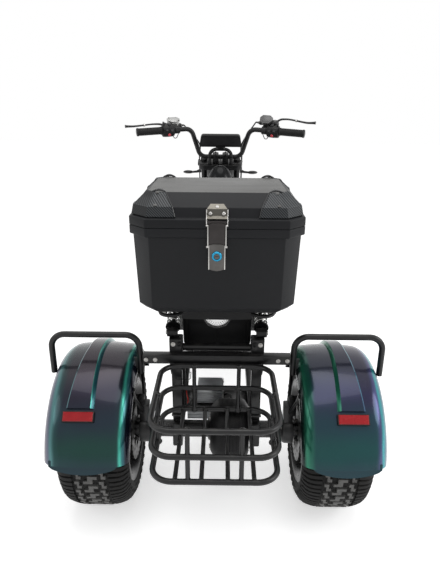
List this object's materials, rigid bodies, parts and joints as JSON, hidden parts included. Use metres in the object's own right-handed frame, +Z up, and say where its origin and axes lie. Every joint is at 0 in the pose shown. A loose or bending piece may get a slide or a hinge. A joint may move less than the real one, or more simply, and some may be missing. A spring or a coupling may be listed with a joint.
{
  "type": "three-wheeled electric scooter",
  "caption": "Three-wheeled electric scooter with a steered front wheel, wide rear wheels under coloured fenders, a wire basket, saddle and hinged top case.",
  "frame": {"origin": "middle of the bounding box's base, on the ground between the wheels", "axes": "+X to the rider's right, +Y forward, +Z up"},
  "size_m": [1.0246, 2.0468, 1.1907],
  "materials": {
    "frame_paint": "satin black paint",
    "satin_paint": "satin black powder coat",
    "gloss_cowl": "gloss black moulding",
    "chameleon_paint": "colour-shifting green and violet clear-coated paint",
    "case_plastic": "fine-grained charcoal plastic",
    "carbon_film": "twill film",
    "black_plastic": "black moulding",
    "tyre": "worn black rubber",
    "grip": "ribbed rubber",
    "hose": "smooth black hose",
    "vinyl": "black seat cover",
    "alloy": "cast and finned alloy",
    "steel": "worn bright steel",
    "rim_paint": "gloss black paint on cast alloy",
    "red_lens": "red reflector",
    "clear_lens": "clear lamp lens",
    "amber_lens": "amber lens",
    "blue_metal": "blue plated lock"
  },
  "bodies": {
    "chassis": {"main_frame": "frame_paint", "footboard": "frame_paint", "battery_box": "black_plastic", "seat_pan": "black_plastic", "seat_cushion": "vinyl", "neck_cowl": "gloss_cowl", "rear_axle": "frame_paint", "rear_subframe": "satin_paint", "controller": "alloy", "converter": "alloy", "tail_panel": "black_plastic", "tail_lamp": "clear_lens", "case_rack": "frame_paint", "case_base": "case_plastic", "basket": "satin_paint", "fender_left": "chameleon_paint", "fender_right": "chameleon_paint", "reflector_left": "red_lens", "reflector_right": "red_lens", "guard_hoop_left": "satin_paint", "guard_hoop_right": "satin_paint", "shock_left": "steel", "shock_right": "steel"},
    "rear_wheel_left": {"rear_tyre_left": "tyre", "rear_rim_left": "rim_paint"},
    "rear_wheel_right": {"rear_tyre_right": "tyre", "rear_rim_right": "rim_paint"},
    "steering": {"fork": "frame_paint", "handlebar": "frame_paint", "grip_left": "grip", "grip_right": "grip", "switch_left": "black_plastic", "switch_right": "black_plastic", "brake_left": "alloy", "brake_right": "alloy", "display_bracket": "frame_paint", "display": "gloss_cowl", "headlight": "gloss_cowl", "signal_left": "amber_lens", "signal_right": "amber_lens", "front_fender": "frame_paint", "brake_hose_left": "hose", "brake_hose_right": "hose"},
    "front_wheel": {"front_tyre": "tyre", "front_rim": "rim_paint"},
    "case_lid": {"case_lid": "case_plastic", "lid_guard_left": "carbon_film", "lid_guard_right": "carbon_film", "case_latch": "steel", "latch_lock": "blue_metal"}
  },
  "joints": [
    {"name": "rear_wheel_left_spin", "type": "hinge", "parent": "chassis", "child": "rear_wheel_left", "pos_m": [-0.365, -0.6254, 0.23776], "axis": [1, 0, 0], "continuous": true},
    {"name": "rear_wheel_right_spin", "type": "hinge", "parent": "chassis", "child": "rear_wheel_right", "pos_m": [0.365, -0.6254, 0.23776], "axis": [1, 0, 0], "continuous": true},
    {"name": "steer", "type": "hinge", "parent": "chassis", "child": "steering", "pos_m": [0, 0.75702, 0.21511], "axis": [0, -0.342, 0.9397], "range_deg": [-35, 35]},
    {"name": "front_wheel_spin", "type": "hinge", "parent": "steering", "child": "front_wheel", "pos_m": [0, 0.7946, 0.22879], "axis": [1, 0, 0], "continuous": true},
    {"name": "lid_open", "type": "hinge", "parent": "chassis", "child": "case_lid", "pos_m": [0, -0.4254, 0.96], "axis": [-1, 0, 0], "range_deg": [0, 90]}
  ]
}
